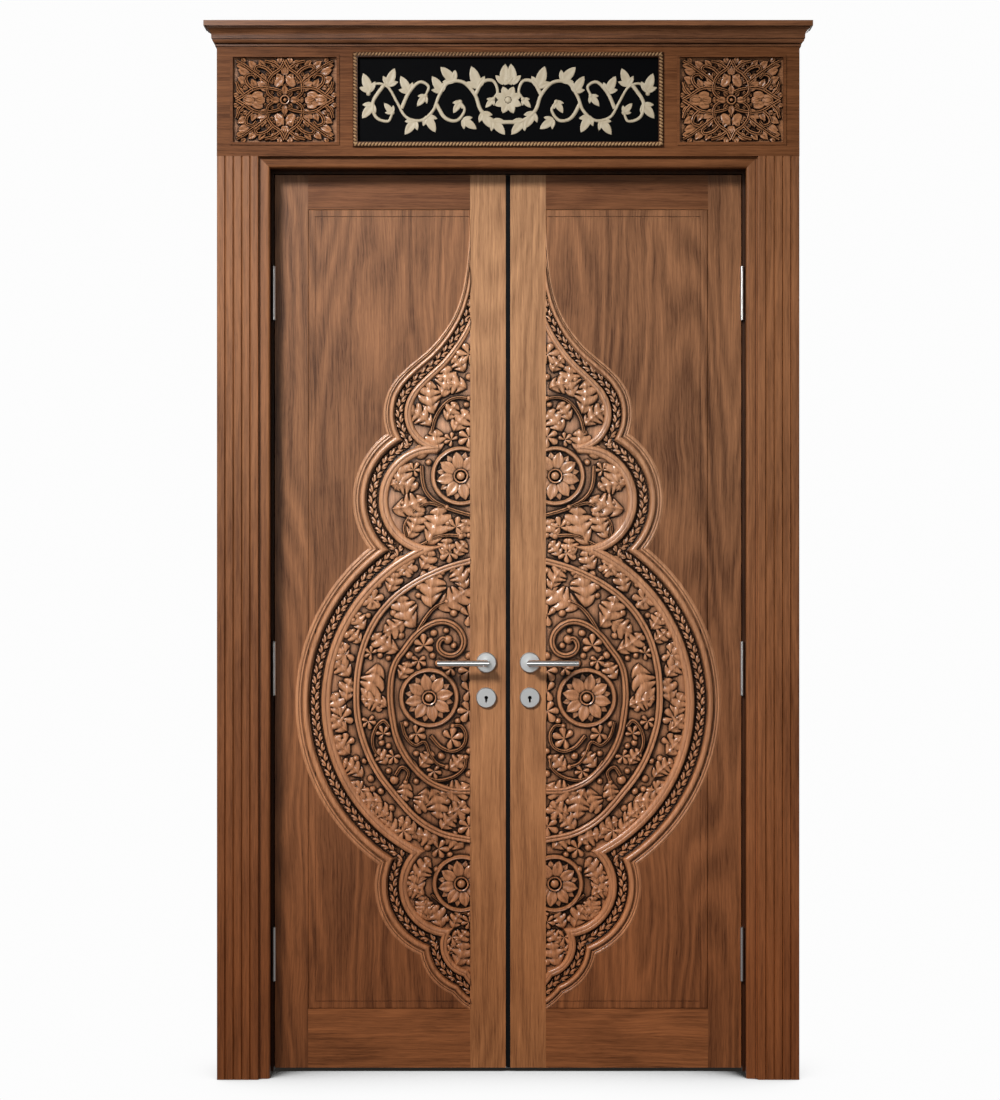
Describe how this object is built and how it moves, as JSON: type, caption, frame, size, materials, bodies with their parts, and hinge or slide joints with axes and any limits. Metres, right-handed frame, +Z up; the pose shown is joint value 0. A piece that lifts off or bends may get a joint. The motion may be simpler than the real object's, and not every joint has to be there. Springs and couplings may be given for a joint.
{
  "type": "carved double door with frame",
  "caption": "Wooden double door in a reeded frame with carved frieze and cornice; the leaves carry a carved lobed medallion, lever handles and butt hinges.",
  "frame": {"origin": "on the floor, in the middle of the doorway and of the leaves' thickness", "axes": "+X to the right seen from outside, +Y through the doorway to the inside, +Z up"},
  "size_m": [1.56, 0.265, 2.72],
  "materials": {
    "frame_wood": "oiled walnut-brown wood",
    "carved_wood": "hand-carved wood, darkened in its hollows",
    "leaf_wood": "oiled walnut-brown wood",
    "black_board": "black satin paint on wood",
    "cream_relief": "cream paint on wood",
    "polished_metal": "polished plated metal",
    "hinge_steel": "bright satin steel",
    "lock_steel": "plain steel",
    "black_rubber": "matt black"
  },
  "bodies": {
    "frame": {"left_jamb": "frame_wood", "right_jamb": "frame_wood", "left_bead": "frame_wood", "right_bead": "frame_wood", "left_casing": "frame_wood", "right_casing": "frame_wood", "left_frieze_moulding": "frame_wood", "right_frieze_moulding": "frame_wood", "head_jamb": "frame_wood", "head_bead": "frame_wood", "frieze_board": "frame_wood", "cornice": "frame_wood", "left_frieze_carving": "carved_wood", "right_frieze_carving": "carved_wood", "left_frame_hinge_halves": "hinge_steel", "right_frame_hinge_halves": "hinge_steel", "left_hinge_pins": "hinge_steel", "right_hinge_pins": "hinge_steel", "centre_board": "black_board", "centre_scrollwork": "cream_relief", "centre_moulding": "carved_wood", "stop_seal": "black_rubber"},
    "left_leaf": {"left_hinge_stile": "leaf_wood", "left_meeting_stile": "leaf_wood", "left_top_rail": "leaf_wood", "left_bottom_rail": "leaf_wood", "left_panel": "leaf_wood", "left_medallion": "carved_wood", "left_edge_seal": "black_rubber", "left_leaf_hinge_halves": "hinge_steel", "left_outer_roses": "polished_metal", "left_inner_roses": "polished_metal", "strike_case": "lock_steel", "strike_plate": "lock_steel"},
    "right_leaf": {"right_hinge_stile": "leaf_wood", "right_meeting_stile": "leaf_wood", "right_top_rail": "leaf_wood", "right_bottom_rail": "leaf_wood", "right_panel": "leaf_wood", "right_medallion": "carved_wood", "right_edge_seal": "black_rubber", "right_leaf_hinge_halves": "hinge_steel", "right_outer_roses": "polished_metal", "right_inner_roses": "polished_metal", "lock_case": "lock_steel", "lock_faceplate": "lock_steel"},
    "left_lever": {"left_outer_lever": "polished_metal", "left_inner_lever": "polished_metal", "left_spindle": "lock_steel", "left_follower": "lock_steel"},
    "right_lever": {"right_outer_lever": "polished_metal", "right_inner_lever": "polished_metal", "right_spindle": "lock_steel", "right_follower": "lock_steel"},
    "latch_bolt": {"latch_bolt": "lock_steel"},
    "dead_bolt": {"dead_bolt": "lock_steel"}
  },
  "joints": [
    {"name": "left_leaf_swing", "type": "hinge", "parent": "frame", "child": "left_leaf", "pos_m": [-0.6115, -0.0305, 0], "axis": [0, 0, -1], "range_deg": [0, 90]},
    {"name": "right_leaf_swing", "type": "hinge", "parent": "frame", "child": "right_leaf", "pos_m": [0.6115, -0.0305, 0], "axis": [0, 0, 1], "range_deg": [0, 90]},
    {"name": "left_lever_turn", "type": "hinge", "parent": "left_leaf", "child": "left_lever", "pos_m": [-0.057, 0, 1.07], "axis": [0, -1, 0], "range_deg": [0, 40], "stiffness_Nm_per_rad": 1.5, "springref_deg": -45.84},
    {"name": "right_lever_turn", "type": "hinge", "parent": "right_leaf", "child": "right_lever", "pos_m": [0.057, 0, 1.07], "axis": [0, 1, 0], "range_deg": [0, 40], "stiffness_Nm_per_rad": 1.5, "springref_deg": -45.84},
    {"name": "latch_slide", "type": "slide", "parent": "right_leaf", "child": "latch_bolt", "axis": [1, 0, 0], "range_m": [0, 0.0091]},
    {"name": "dead_bolt_slide", "type": "slide", "parent": "right_leaf", "child": "dead_bolt", "axis": [-1, 0, 0], "range_m": [0, 0.02]}
  ],
  "couplings": [
    {"joint": "latch_slide", "follows": "right_lever_turn", "m_per_rad": 0.0129}
  ]
}
